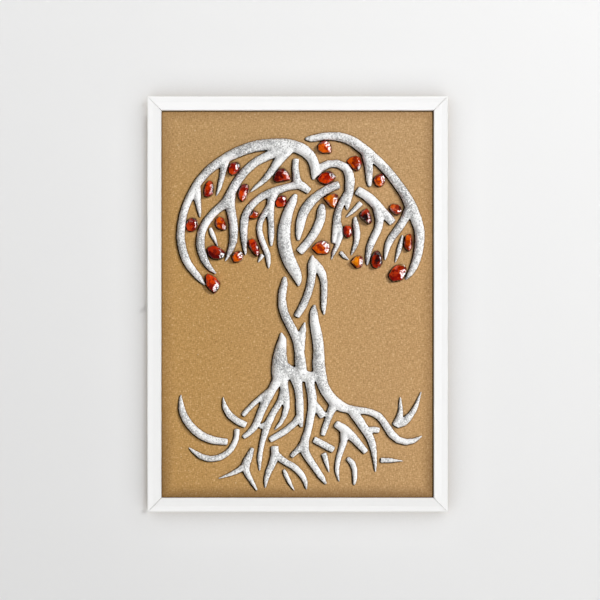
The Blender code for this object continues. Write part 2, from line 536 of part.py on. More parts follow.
def hanger_ring(finish):
    """A closed D of round wire: a straight bar through the strap's curl, and an arc above it."""
    rise = math.sqrt(RING_ARC_R**2 - RING_BAR_HALF**2)
    dip = math.degrees(math.asin(rise / RING_ARC_R))
    path = arc((0, rise), RING_ARC_R, -dip, 180 + dip, 22)
    sides = 8
    shape = bmesh.new()
    loops = []
    for i, point in enumerate(path):
        before, after = Vector(path[i - 1]), Vector(path[(i + 1) % len(path)])
        here = Vector(point)
        first = (here - before).normalized()
        second = (after - here).normalized()
        along = (first + second).normalized()
        stretch = 1 / max(first.dot(along), 0.5)
        outward = Vector((along.y, -along.x))
        loop = []
        for k in range(sides):
            angle = 2 * math.pi * k / sides
            side_step = outward * (RING_WIRE_R * stretch * math.cos(angle))
            deep = CURL_Y + RING_WIRE_R * math.sin(angle)
            loop.append(
                shape.verts.new((here.x + side_step.x, deep, HANGER_HEIGHT + here.y + side_step.y))
            )
        loops.append(loop)
    for near, far in zip(loops, loops[1:] + loops[:1]):
        for k in range(sides):
            j = (k + 1) % sides
            shape.faces.new((near[k], near[j], far[j], far[k]))
    ring = new_object("hanger_ring", shape, finish)
    at_pivot(ring, (0, CURL_Y, HANGER_HEIGHT))
    round_shading(ring)
    return ring


def rivet_profile():
    """(radius, y) from the clinched head in the panel to the domed head on the strap."""
    clinch_y = PANEL_BACK_Y - BOARD_THICKNESS + GAP
    seat = PANEL_BACK_Y + 2 * GAP + STRAP_THICKNESS
    clinch, dome, eye = 0.5, 0.9, 0.3
    return [
        (eye, clinch_y),
        (RIVET_HEAD_R - 0.2, clinch_y),
        (RIVET_HEAD_R, clinch_y + clinch),
        (RIVET_SHANK_R, clinch_y + clinch),
        (RIVET_SHANK_R, seat),
        (RIVET_HEAD_R, seat),
        (RIVET_HEAD_R * 0.8, seat + dome * 0.7),
        (eye, seat + dome),
    ]


def rivet_hole(panel):
    """Bores the back panel for the rivet, with a counterbore that hides the clinched head."""
    front = PANEL_BACK_Y - BOARD_THICKNESS
    past = 1.0
    counterbore = 1.1
    wide, narrow = RIVET_HEAD_R + GAP, RIVET_SHANK_R + GAP
    profile = [
        (wide, front - past),
        (wide, front + counterbore),
        (narrow, front + counterbore),
        (narrow, PANEL_BACK_Y + past),
    ]
    cut(panel, turned("back_panel_bore", profile, (0, HANGER_HEIGHT - RIVET_DROP)))


# Clay


def smooth_path(points):
    """Catmull-Rom through (x, height, width) points, sampled about every ROLL_STEP."""
    spots = [Vector(p) for p in points]
    spots = [2 * spots[0] - spots[1]] + spots + [2 * spots[-1] - spots[-2]]
    path = []
    for a, b, c, d in zip(spots, spots[1:], spots[2:], spots[3:]):
        steps = max(1, round((c - b).length / ROLL_STEP))
        for i in range(steps):
            t = i / steps
            slope = (c - a) * t + (2 * a - 5 * b + 4 * c - d) * t**2 + (3 * b - a - 3 * c + d) * t**3
            path.append(b + slope / 2)
    path.append(spots[-2])
    return path


def roll_height(width):
    """How far a clay roll stands off the board: thick rolls are pressed a little flatter."""
    return min(0.35 + 0.52 * width, 4.6)


def clay_roll(name, points, finish, collection=None):
    """A roll with a flat underside and a round top that follows points."""
    path = smooth_path(points)
    rings = []
    for i, spot in enumerate(path):
        ahead = path[min(i + 1, len(path) - 1)]
        behind = path[max(i - 1, 0)]
        along = Vector((ahead.x - behind.x, ahead.y - behind.y)).normalized()
        across = Vector((-along.y, along.x))
        width = max(spot.z, 0.8)
        ring = []
        for k in range(ROLL_SIDES + 1):
            angle = math.pi * k / ROLL_SIDES
            out = across * (math.cos(angle) * width / 2)
            ring.append((spot.x + out.x, RELIEF_Y - roll_height(width) * math.sin(angle), spot.y + out.y))
        rings.append(ring)
    return tube_between(name, rings, finish, collection)


def clay_piece(name, rolls, finish):
    """One piece of clay: its rolls, pressed together into one body."""
    base = clay_roll(name, rolls[0], finish)
    if len(rolls) > 1:
        others = bpy.data.collections.new(name + "_rolls")
        others.hide_render = True
        bpy.context.scene.collection.children.link(others)
        for i, points in enumerate(rolls[1:]):
            helper = clay_roll(f"{name}_roll_{i + 2}", points, finish, others)
            helper.hide_render = True
            helper.display_type = "WIRE"
        union = base.modifiers.new("press_together", "BOOLEAN")
        union.operation = "UNION"
        union.solver = "EXACT"
        union.operand_type = "COLLECTION"
        union.collection = others
        union.use_self = True
    return base


# Amber


def chip(name, middle, outline, seed, finish):
    """A broken, tumbled chip: its outline at the waist, narrower at the board, with an uneven crown."""
    shake = random.Random(seed)
    lean = (shake.uniform(-0.7, 0.7), shake.uniform(-0.7, 0.7))
    shape = bmesh.new()
    for share, depth in CHIP_LEVELS:
        for across, up in outline:
            jog = shake.uniform(0.95, 1.0) if depth > 0 else 1.0
            lift = depth * CHIP_THICKNESS * (shake.uniform(0.86, 1.0) if depth == 1 else 1)
            x = middle[0] + share * jog * across + depth * depth * lean[0]
            z = middle[1] + share * jog * up + depth * depth * lean[1]
            shape.verts.new((x, RELIEF_Y - lift, z))
    hull = bmesh.ops.convex_hull(shape, input=shape.verts)
    bmesh.ops.delete(shape, geom=hull["geom_interior"], context="VERTS")
    return new_object(name, shape, finish)


def build():
    clear_scene()
    paint = material("white_paint", (0.90, 0.90, 0.89), 0.42)
    kraft = material("kraft_card", (0.46, 0.29, 0.14), 0.85)
    hardboard = material("hardboard", (0.27, 0.16, 0.08), 0.75)
    steel = material("zinc_steel", (0.62, 0.62, 0.60), 0.35, metallic=1.0)
    brass = material("brass_plate", (0.72, 0.53, 0.24), 0.30, metallic=1.0)
    clay = material("white_clay", (0.88, 0.88, 0.86), 0.95)
    ambers = {
        ORANGE: material("amber_orange", (0.80, 0.20, 0.02), 0.12, transmission=0.4),
        HONEY: material("amber_honey", (0.90, 0.38, 0.05), 0.12, transmission=0.4),
        RED: material("amber_red", (0.55, 0.04, 0.01), 0.12, transmission=0.4),
        DARK: material("amber_dark", (0.22, 0.01, 0.01), 0.12, transmission=0.4),
    }

    for side in ("bottom", "top", "left", "right"):
        made = rail("frame_" + side, side, paint)
        if side in ("left", "right"):
            screw_hole(made, -1 if side == "left" else 1)
    board("art_board", ART_Y, kraft)
    rivet_hole(board("back_panel", PANEL_Y, hardboard))

    for label, side in (("left", -1), ("right", 1)):
        turn_button("turn_button_" + label, side, steel)
        turn_screw("turn_screw_" + label, side, steel)
    hanger_strap(brass)
    hanger_ring(brass)
    turned("hanger_rivet", rivet_profile(), (0, HANGER_HEIGHT - RIVET_DROP), brass)

    for name, rolls in CLAY.items():
        clay_piece(name, rolls, clay)
    for number, (x, z, colour, outline) in enumerate(CHIPS, start=1):
        chip(f"amber_chip_{number:02d}", (x, z), outline, number, ambers[colour])


build()
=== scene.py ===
"""The looks of the framed clay tree of life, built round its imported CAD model.

The clay is remeshed and roughened in code, the chips are rounded and polished, and every surface has a
material made of nodes. Node patterns are measured in millimetres. Everything else is in metres, and MM
turns millimetres into them.
"""

import json
import math
import random

import bmesh
import bpy
import numpy as np
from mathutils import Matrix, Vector, noise

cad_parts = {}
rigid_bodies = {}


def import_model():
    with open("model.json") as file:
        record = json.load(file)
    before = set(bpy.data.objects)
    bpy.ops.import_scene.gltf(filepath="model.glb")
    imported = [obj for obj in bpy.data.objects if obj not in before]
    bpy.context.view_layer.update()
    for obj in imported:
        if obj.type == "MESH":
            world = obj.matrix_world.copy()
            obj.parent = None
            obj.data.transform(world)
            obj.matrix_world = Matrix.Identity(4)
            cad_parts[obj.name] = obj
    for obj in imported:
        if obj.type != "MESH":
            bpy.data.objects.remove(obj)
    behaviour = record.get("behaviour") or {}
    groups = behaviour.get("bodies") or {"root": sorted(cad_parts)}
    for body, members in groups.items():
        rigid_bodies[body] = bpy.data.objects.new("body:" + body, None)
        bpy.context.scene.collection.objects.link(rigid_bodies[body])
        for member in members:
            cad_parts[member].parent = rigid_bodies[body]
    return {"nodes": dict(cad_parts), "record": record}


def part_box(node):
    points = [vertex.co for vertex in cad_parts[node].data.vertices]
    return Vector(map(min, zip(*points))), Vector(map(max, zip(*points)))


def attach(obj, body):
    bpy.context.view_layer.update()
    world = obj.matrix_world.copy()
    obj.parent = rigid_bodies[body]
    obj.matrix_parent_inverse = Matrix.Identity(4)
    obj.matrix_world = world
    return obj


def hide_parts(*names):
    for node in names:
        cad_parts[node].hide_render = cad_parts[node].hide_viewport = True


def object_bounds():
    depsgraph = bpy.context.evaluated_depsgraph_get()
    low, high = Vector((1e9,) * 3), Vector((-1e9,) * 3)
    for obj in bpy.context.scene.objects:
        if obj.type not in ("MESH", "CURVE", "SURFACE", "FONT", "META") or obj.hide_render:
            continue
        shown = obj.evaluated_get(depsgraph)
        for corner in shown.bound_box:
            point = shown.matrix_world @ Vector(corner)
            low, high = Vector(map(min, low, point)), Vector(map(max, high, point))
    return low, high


MM = 0.001
BODY = "picture"

WELD_REACH = 0.002 * MM  # joins the vertices that flat shading split

# Clay
CLAY_VOXEL = 0.5 * MM
BLEND_STAGES, BLEND_ROUNDS = 3, 10  # normals are worked out again at each stage
VALLEY_STEP = np.array((0.12, 0.60, 0.12))  # valleys fill towards the viewer, and hardly sideways
RIDGE_STEP = 0.13
LUMP_SIZE, LUMP_DEPTH = 5.5 * MM, 0.35 * MM
GRAIN_SIZE, GRAIN_DEPTH = 1.45 * MM, 0.60 * MM
GRAIN_MIDDLE = 0.45  # distance from a grain's middle, in grains, where clay is neither raised nor sunk
PIT_START, PIT_SPAN = 0.42, 0.30
PATCH_SIZE = 16 * MM  # the grain is stronger in patches of about this size
PATCH_MIDDLE, PATCH_SWING, PATCH_LEAST = 0.62, 1.1, 0.15
SKIRT = 0.9 * MM  # clay this near its underside is pressed down onto the board
PRESS = 0.35 * MM

# Twigs too small for nodes of their own in CAD: (x, height, width) in mm
TWIG_SIDES = 6
TWIGS = [
    [(-66.2, 215, 2.6), (-64.6, 210.5, 3.8), (-62.4, 205.5, 2.8), (-60.4, 200.6, 1.0)],
    [(79.6, 209.5, 1.6), (78.6, 204.5, 3.4), (76.6, 197, 3.6), (73.8, 188.2, 1.0)],
    [(32.4, 196.6, 3.2), (35.2, 193.4, 3.2), (38.9, 190.6, 0.9)],
    [(-26.4, 194.6, 3.8), (-28, 191.8, 3.2), (-30.2, 188.4, 0.9)],
    [(62.8, 39, 4.2), (70, 38.8, 3.4), (80.4, 38.3, 0.9)],
]

# Amber: colour of the painted glow, of the body, and of the rim's painted shade
AMBER = {
    "amber_orange": ((0.68, 0.098, 0.001), (0.33, 0.020, 0.001), (0.055, 0.002, 0.001)),
    "amber_honey": ((0.80, 0.240, 0.003), (0.52, 0.085, 0.001), (0.11, 0.006, 0.001)),
    "amber_red": ((0.62, 0.045, 0.001), (0.27, 0.005, 0.001), (0.030, 0.001, 0.001)),
    "amber_dark": ((0.42, 0.022, 0.001), (0.13, 0.002, 0.001), (0.010, 0.001, 0.001)),
}

# Each chip: where its painted glow and where its shiny face and painted rim shade lie, in degrees from
# +X, how far the shiny face cuts in (0 at the edge, 1 at the middle), and how black its heart is (0 to
# 1)
CHIPS = [
    (235, 40, 0.60, 0.0),
    (175, -35, 0.12, 0.2),
    (225, 15, 0.58, 0.0),
    (-20, 30, 0.10, 0.4),
    (250, 25, 0.12, 0.0),
    (235, 10, 0.30, 0.0),
    (110, 10, 0.05, 0.1),
    (215, 35, 0.14, 0.2),
    (180, -5, 0.52, 0.0),
    (225, 35, 0.40, 0.1),
    (180, 0, 0.44, 0.0),
    (200, 60, 0.55, 0.0),
    (60, 5, 0.22, 1.0),
    (150, -25, 0.10, 0.1),
    (215, 30, 0.25, 0.1),
    (50, -5, 0.22, 0.2),
    (75, 15, 0.07, 0.3),
    (190, 45, 0.48, 0.1),
    (140, 20, 0.40, 0.0),
    (75, -35, 0.24, 0.3),
    (200, 25, 0.48, 0.0),
    (200, 20, 0.22, 0.9),
    (150, 0, 0.46, 0.0),
    (110, 12, 0.55, 0.2),
    (130, -40, 0.36, 0.1),
]
SHINY_TILT = math.radians(31)
OTHER_CUTS = ((65, 0.2, 1.5), (190, 0.2, 1.0))  # degrees from the shiny face, depth, share of its tilt
FACET_ANGLE = math.radians(7)  # CAD facets that meet at less than this are one face of the chip
EDGE_CREASE = 0.66  # how sharp the chips' edges stay
CHIP_GROWTH = Vector((1.06, 1.04, 1.06))  # makes up for what rounding takes off
LEAST_POLISH, POLISH_STEP = 0.34, 2.6  # a chip with a deeper shiny face is glossier

# Glue beads: how far they spread in mm, and (share of the spread, height in mm) from outside to middle
GLUE_SPREAD = (0.45, 0.9)
GLUE_PROFILE = ((1.0, -0.05), (0.75, 0.28), (0.1, 0.5), (-0.6, 0.55))

# V-nails
NAIL_INSETS = (1.9 * MM, 4.9 * MM)  # from the frame's outer corner
NAIL_ARM, NAIL_THICK, NAIL_RISE = 1.7 * MM, 0.4 * MM, 0.55
NAIL_PROUD, NAIL_DEEP = 0.15 * MM, 1.5 * MM

# Camera
VIEW_WIDTH = 453 * MM  # what the picture spans at the front of the frame
VIEW_MIDDLE = (1.8 * MM, 160.2 * MM)
LENS, SENSOR = 150.0, 36.0
CLIP_START, CLIP_END = 0.05, 20.0

# Stage
WALL_GAP = 0.5 * MM
WALL_HALF_WIDTH, WALL_TOP = 0.7, 2.0
FLOOR_HEIGHT, FLOOR_REACH = -0.9, 3.0
WALL_LOOK = ((0.50, 0.50, 0.50), 0.292, 26.0)  # tone, light of its own, reach of the soft shadow in mm
FLOOR_LOOK = ((0.60, 0.59, 0.57), 0.56, 60.0)
LIFT_RIGHT, LIFT_UP = 0.00002, 0.00020  # added to the wall's own light for each mm
SHADOW_LEFT = 0.64  # what is left of the wall's light in its soft shadow

# Lamps: name, place, size, power in watts, and whether it shows in reflections
LAMPS = [
    ("key", (1.85, -1.85, 1.20), 0.70, 72.0, False),
    ("overhead", (0.05, -2.90, 2.80), 1.40, 131.0, False),
    ("soft_key", (1.60, -1.90, 1.35), 1.60, 7.5, False),
    ("fill", (-1.2, -1.6, 0.2), 1.4, 0.8, False),
    ("rear_key", (-1.0, 1.5, 1.1), 0.7, 28.0, True),
    ("rear_fill", (1.2, 1.4, 0.2), 1.0, 8.0, True),
]
TOWARDS_KEY = (0.72, -0.58, 0.38)

# Room: its light, and where each part of it fades in along a direction's X (window) or Y
AMBIENT_LIGHT = 0.08
BACKGROUND_TONE = (0.86, 0.86, 0.86)
WINDOW_LIGHT, WALLS_LIGHT, WINDOW_FADE = 12.0, 0.06, (0.30, 0.52)
FRONT_LEFT, FRONT_FADE = 0.02, (-0.36, -0.16)
REAR_ROOM_LIGHT, REAR_FADE = 0.8, (0.05, 0.60)


# Node helpers


class Shader:
    """A material's node tree, with patterns placed in millimetres of the row frame."""

    def __init__(self, name):
        self.material = bpy.data.materials.new(name)
        self.material.use_nodes = True
        self.tree = self.material.node_tree
        self.surface = self.tree.nodes["Principled BSDF"]
        coordinates = self.tree.nodes.new("ShaderNodeTexCoord")
        self.place = self.node("ShaderNodeVectorMath", "SCALE", coordinates.outputs["Object"])
        self.place.node.inputs["Scale"].default_value = 1 / MM
        axes = self.tree.nodes.new("ShaderNodeSeparateXYZ")
        self.tree.links.new(self.place, axes.inputs[0])
        self.x, self.y, self.z = axes.outputs

    def feed(self, socket, value):
        if isinstance(value, bpy.types.NodeSocket):
            self.tree.links.new(value, socket)
        elif isinstance(value, tuple) and len(value) == 3 and socket.type == "RGBA":
            socket.default_value = (*value, 1.0)
        else:
            socket.default_value = value

    def node(self, kind, operation=None, *values):
        """Adds a node, feeds its inputs in order, and returns its first output."""
        made = self.tree.nodes.new(kind)
        if operation:
            made.operation = operation
        for socket, value in zip(made.inputs, values):
            self.feed(socket, value)
        return made.outputs[0]

    def math(self, operation, *values):
        return self.node("ShaderNodeMath", operation, *values)

    def span(self, value, low, high, start=0.0, end=1.0):
        """Value between low and high, smoothly mapped to start and end."""
        made = self.tree.nodes.new("ShaderNodeMapRange")
        made.interpolation_type = "SMOOTHSTEP"
        for socket, given in zip(made.inputs, (value, low, high, start, end)):
            self.feed(socket, given)
        return made.outputs[0]

    def stretched(self, scale, shift=(0.0, 0.0, 0.0)):
        made = self.tree.nodes.new("ShaderNodeMapping")
        self.feed(made.inputs["Vector"], self.place)
        made.inputs["Scale"].default_value = scale
        made.inputs["Location"].default_value = shift
        return made.outputs[0]

    def noise(self, size, detail=3.0, where=None, roughness=0.55):
        """Noise whose features are about size millimetres wide, from 0 to 1."""
        made = self.tree.nodes.new("ShaderNodeTexNoise")
        self.feed(made.inputs["Vector"], where or self.place)
        made.inputs["Scale"].default_value = 1 / size
        made.inputs["Detail"].default_value = detail
        made.inputs["Roughness"].default_value = roughness
        return made.outputs[0]

    def cells(self, size, output="Distance", feature="F1", where=None):
        made = self.tree.nodes.new("ShaderNodeTexVoronoi")
        made.feature = feature
        self.feed(made.inputs["Vector"], where or self.place)
        made.inputs["Scale"].default_value = 1 / size
        return made.outputs[output]

    def mix(self, factor, first, second, blend="MIX"):
        made = self.tree.nodes.new("ShaderNodeMix")
        made.data_type = "RGBA"
        made.blend_type = blend
        self.feed(made.inputs["Factor"], factor)
        self.feed(made.inputs[6], first)
        self.feed(made.inputs[7], second)
        return made.outputs[2]

    def closeness(self, reach, towards=None):
        """How shut in the surface is by things within reach millimetres, or by those on one side."""
        made = self.tree.nodes.new("ShaderNodeAmbientOcclusion")
        made.samples = 8
        made.inputs["Distance"].default_value = reach * MM
        if towards:
            side = self.node("ShaderNodeCombineXYZ", None, *towards)
            self.feed(made.inputs["Normal"], side)
        return self.math("SUBTRACT", 1.0, made.outputs["AO"])

    def bump(self, height, distance, strength=1.0, under=None):
        """Height from 0 to 1 raises the surface by distance millimetres."""
        made = self.tree.nodes.new("ShaderNodeBump")
        made.inputs["Strength"].default_value = strength
        made.inputs["Distance"].default_value = distance * MM
        self.feed(made.inputs["Height"], height)
        if under:
            self.feed(made.inputs["Normal"], under)
        return made.outputs[0]

    def set(self, **values):
        for name, value in values.items():
            self.feed(self.surface.inputs[name.replace("_", " ")], value)
        return self.material


# Materials


def clay_material():
    """Dry white clay, chalky and gritty. Painted shade darkens its pits, its grain's hollows and grey
    blotches.
    """
    s = Shader("dry_clay")
    pits = s.tree.nodes.new("ShaderNodeAttribute")
    pits.attribute_name = "pits"
    deep = s.span(pits.outputs["Fac"], 0.15, 0.9)
    grit = s.noise(0.95, 2.0, roughness=0.6)
    patches = s.span(s.noise(19.0, 2.0), 0.40, 0.62)
    # dark specks of painted shade where the grain's bump is lowest
    cut = s.math("MULTIPLY_ADD", patches, 0.125, 0.335)
    shade_specks = s.math("SUBTRACT", 1.0, s.span(grit, cut, s.math("ADD", cut, 0.03)))
    tone = s.mix(s.noise(4.0, 3.0), (0.91, 0.91, 0.905), (0.98, 0.98, 0.975))
    crown_shading = s.span(s.z, 70.0, 115.0, 0.25, 1.0)  # painted grain shade is stronger on the crown than on the roots
    # grey blotches of painted shade on the grain
    shade_blotches = s.math("MULTIPLY", s.span(s.noise(1.7, 3.0), 0.42, 0.60), crown_shading)
    shade_blotches = s.math("MULTIPLY", shade_blotches, s.math("MULTIPLY_ADD", patches, 0.52, 0.12))
    tone = s.mix(shade_blotches, tone, (0.44, 0.44, 0.44))
    # painted shade darkens the pits of the grain
    colour = s.mix(s.math("MULTIPLY", deep, 0.55), tone, (0.32, 0.32, 0.32))
    shade_specks = s.math("MULTIPLY", shade_specks, s.span(crown_shading, 0.25, 1.0, 0.48, 0.68))
    colour = s.mix(shade_specks, colour, (0.17, 0.17, 0.175))
    fine = s.bump(s.noise(0.5, 3.0), 0.14, 0.9)
    coarse = s.bump(grit, 0.50, 1.0, fine)
    return s.set(Base_Color=colour, Roughness=0.95, Specular_IOR_Level=0.0, Normal=coarse)


def kraft_material():
    """Brown kraft paper over board: fibres, flecks, edge grime, painted light to the right and painted
    shade at its edges and beside the clay.
    """
    s = Shader("kraft_paper")
    across = s.noise(1.0, 3.0, s.stretched((0.45, 1.0, 1.5)))
    along = s.noise(1.0, 3.0, s.stretched((1.6, 1.0, 0.4), (7.0, 0.0, 3.0)))
    fibres = s.math("ADD", s.math("MULTIPLY", across, 0.5), s.math("MULTIPLY", along, 0.5))
    # painted light: the paper is lighter towards the right, the side the light comes from
    painted_light_right = s.span(s.x, -100.0, 80.0)
    base = s.mix(painted_light_right, (0.530, 0.306, 0.106), (0.548, 0.334, 0.152))
    base = s.mix(s.span(s.z, 200.0, 310.0, 0.0, 0.5), base, (0.500, 0.330, 0.175))
    mottled = s.mix(s.noise(26.0, 3.0), s.mix(0.10, base, (0.30, 0.17, 0.06)), base)
    dark = s.mix(0.46, mottled, (0.20, 0.11, 0.035))
    colour = s.mix(s.span(fibres, 0.38, 0.54), dark, mottled)
    colour = s.mix(s.math("MULTIPLY", s.span(fibres, 0.53, 0.66), 0.60), colour, (0.80, 0.58, 0.34))
    dark_fleck = s.math("LESS_THAN", s.cells(6.5), 0.07)
    pale_places = s.stretched((1.0, 1.0, 0.7), (3.0, 0, 5.0))
    light_fleck = s.math("LESS_THAN", s.cells(8.0, where=pale_places), 0.05)
    colour = s.mix(s.math("MULTIPLY", dark_fleck, 0.55), colour, (0.16, 0.08, 0.03))
    colour = s.mix(s.math("MULTIPLY", light_fleck, 0.42), colour, (0.88, 0.72, 0.50))
    low, high = (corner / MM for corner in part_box("art_board"))
    middle = (low + high) / 2
    half = (high - low) / 2
    side = s.math("SUBTRACT", half.x - 2.0, s.math("ABSOLUTE", s.math("SUBTRACT", s.x, middle.x)))
    end = s.math("SUBTRACT", half.z - 2.0, s.math("ABSOLUTE", s.math("SUBTRACT", s.z, middle.z)))
    ragged = s.math("ADD", s.math("MINIMUM", side, end), s.math("MULTIPLY", s.noise(9.0), 3.0))
    # darker near the frame, most at the bottom: partly grime, partly painted shade under the frame's lip
    edge_grime_and_shade = s.span(ragged, 0.0, 13.0, s.span(s.z, 20.0, 110.0, 0.70, 0.38), 0.0)
    colour = s.mix(edge_grime_and_shade, colour, (0.16, 0.09, 0.035))
    # painted shade where the paper meets the clay, the chips and the frame
    corners = s.math("MULTIPLY", s.span(s.closeness(2.0), 0.12, 0.46), 0.60)
    colour = s.mix(corners, colour, (0.036, 0.014, 0.004))
    # painted shadow on the side of each piece away from the key lamp
    unlit = s.span(s.closeness(1.7, TOWARDS_KEY), 0.14, 0.37)
    colour = s.mix(unlit, colour, (0.012, 0.005, 0.002))
    relief = s.bump(fibres, 0.12, 0.8, s.bump(s.noise(0.4), 0.05, 0.5))
    return s.set(Base_Color=colour, Roughness=0.92, Specular_IOR_Level=0.0, Normal=relief)


def paint_material(name, run):
    """Satin white paint brushed along run, over bare pine that shows on the back of the rail."""
    s = Shader(name)
    thin = tuple(0.05 if axis == run else 1.0 for axis in "xyz")
    strokes = s.noise(1.1, 3.0, s.stretched(thin))
    grain_run = tuple(0.06 if axis == run else 1.0 for axis in "xyz")
    wood_grain = s.noise(1.6, 4.0, s.stretched(grain_run))
    scuffs = s.math("MULTIPLY", s.span(s.noise(5.0, 5.0), 0.66, 0.80), 0.10)
    paint = s.mix(s.noise(30.0, 2.0), (0.915, 0.915, 0.915), (0.94, 0.94, 0.94))
    paint = s.mix(scuffs, paint, (0.55, 0.54, 0.52))
    pine = s.mix(s.span(wood_grain, 0.35, 0.65), (0.62, 0.42, 0.22), (0.82, 0.63, 0.38))
    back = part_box("frame_bottom")[1].y / MM
    bare = s.span(s.y, back - 0.35, back - 0.15)
    colour = s.mix(bare, paint, pine)
    rough = s.span(bare, 0.0, 1.0, 0.40, 0.80)
    relief = s.bump(strokes, 0.05, 0.5, s.bump(s.noise(0.8), 0.02, 0.4))
    return s.set(Base_Color=colour, Roughness=rough, Specular_IOR_Level=0.12, Normal=relief)


def hardboard_material():
    """Pressed wood fibre with the print of the press screen on it."""
    s = Shader("pressed_fibre")
    fibre = s.noise(0.9, 5.0, s.stretched((1.0, 1.0, 0.6)))
    base = s.mix(s.noise(18.0, 3.0), (0.20, 0.115, 0.055), (0.29, 0.175, 0.088))
    colour = s.mix(s.span(fibre, 0.40, 0.72), base, (0.42, 0.28, 0.16))
    flakes = s.math("LESS_THAN", s.cells(2.6), 0.10)
    colour = s.mix(s.math("MULTIPLY", flakes, 0.45), colour, (0.12, 0.065, 0.03))
    mesh_pitch = 1.4
    wave = 2 * math.pi / mesh_pitch
    warp = s.math("SINE", s.math("MULTIPLY", s.x, wave))
    weft = s.math("SINE", s.math("MULTIPLY", s.z, wave))
    screen = s.span(s.math("MAXIMUM", warp, weft), 0.2, 1.0)
    relief = s.bump(screen, 0.08, 0.55, s.bump(fibre, 0.06, 0.6))
    return s.set(Base_Color=colour, Roughness=0.72, Specular_IOR_Level=0.25, Normal=relief)


def metal_material(name, bright, dull, rough):
    """Plated metal with fine scratches and a little tarnish."""
    s = Shader(name)
    scratches = s.noise(0.30, 3.0, s.stretched((0.12, 1.0, 1.6)))
    tarnish = s.span(s.noise(2.6, 4.0), 0.48, 0.72)
    colour = s.mix(s.math("MULTIPLY", tarnish, 0.55), bright, dull)
    scratched = s.span(scratches, 0.3, 0.7, rough, rough + 0.12)
    roughness = s.math("ADD", s.math("MULTIPLY", tarnish, 0.22), scratched)
    relief = s.bump(scratches, 0.02, 0.5)
    return s.set(Base_Color=colour, Metallic=1.0, Roughness=roughness, Normal=relief)


def amber_material(slot, number, middle, reach):
    """Polished amber split into panes by flaws, with a painted glow away from the light and painted rim
    shade.
    """
    glow, body, rim = AMBER[slot]
    glow_angle, shiny_angle, depth, heart = CHIPS[number - 1]
    shake = random.Random(number)
    s = Shader(f"{slot}_{number:02d}")
    shift = tuple(shake.uniform(0, 50) for _ in range(3))
    where = s.stretched((1, 0.6, 1), shift)
    panes = s.node("ShaderNodeSeparateColor", None, s.cells(2.4, "Color", where=where))
    cloud = s.noise(1.6, 3.0, where)
    u = s.math("DIVIDE", s.math("SUBTRACT", s.x, middle.x / MM), reach.x / MM)
    v = s.math("DIVIDE", s.math("SUBTRACT", s.z, middle.z / MM), reach.z / MM)

    def towards(degrees):
        angle = math.radians(degrees)
        parts = (s.math("MULTIPLY", u, math.cos(angle)), s.math("MULTIPLY", v, math.sin(angle)))
        return s.math("ADD", *parts)

    broken = s.math("MULTIPLY", s.math("SUBTRACT", panes, 0.5), 1.3)
    broken = s.math("MULTIPLY_ADD", s.math("SUBTRACT", cloud, 0.5), 1.9, broken)
    # painted glow on the side away from the light
    lit = s.span(s.math("ADD", towards(glow_angle), broken), -0.35, 0.65)
    colour = s.mix(lit, body, glow)
    # painted shade on the rim beyond the shiny face
    shade = s.span(s.math("ADD", towards(shiny_angle), s.math("MULTIPLY", broken, 0.6)), 0.45, 1.0)
    colour = s.mix(shade, colour, rim)
    radius = s.math("SQRT", s.math("ADD", s.math("MULTIPLY", u, u), s.math("MULTIPLY", v, v)))
    inner = s.span(s.math("ADD", radius, s.math("MULTIPLY", broken, 0.35)), 0.25, 0.72, heart, 0.0)
    colour = s.mix(inner, colour, rim)
    # painted shade on the chip's steep edges
    edge = s.tree.nodes.new("ShaderNodeLayerWeight")
    edge.inputs["Blend"].default_value = 0.50
    colour = s.mix(s.span(edge.outputs["Facing"], 0.15, 0.75, 0.0, 0.95), colour, rim)
    flaws = s.bump(s.cells(2.2, feature="DISTANCE_TO_EDGE", where=where), 0.30, 0.35)
    relief = s.bump(s.noise(2.2, 1.0, where), 0.26, 0.9, flaws)
    polish = min(1.0, LEAST_POLISH + POLISH_STEP * depth)
    gloss = s.span(s.noise(1.2, 2.0, where), 0.45, 0.51, 0.02, polish)
    # the painted glow also shines as emission, though the chip is no lamp
    s.set(Emission_Color=colour, Emission_Strength=s.math("MULTIPLY", lit, 0.16))
    s.surface.subsurface_method = "RANDOM_WALK"
    return s.set(
        Base_Color=colour,
        Roughness=0.05,
        IOR=1.54,
        Specular_IOR_Level=s.math("MULTIPLY", gloss, 0.6),
        Subsurface_Weight=0.12,
        Subsurface_Radius=(1.6 * MM, 0.3 * MM, 0.1 * MM),
        Subsurface_Scale=1.0,
        Coat_Weight=gloss,
        Coat_Roughness=0.03,
        Normal=relief,
    )


def glue_material():
    """Clear glue that darkens the paper below it like water, and shines."""
    s = Shader("clear_glue")
    colour = s.mix(s.noise(2.0), (0.20, 0.095, 0.030), (0.36, 0.20, 0.075))
    relief = s.bump(s.noise(1.2), 0.1, 0.5)
    s.set(Base_Color=colour, Roughness=0.12, Specular_IOR_Level=0.6)
    return s.set(Coat_Weight=1.0, Normal=relief)


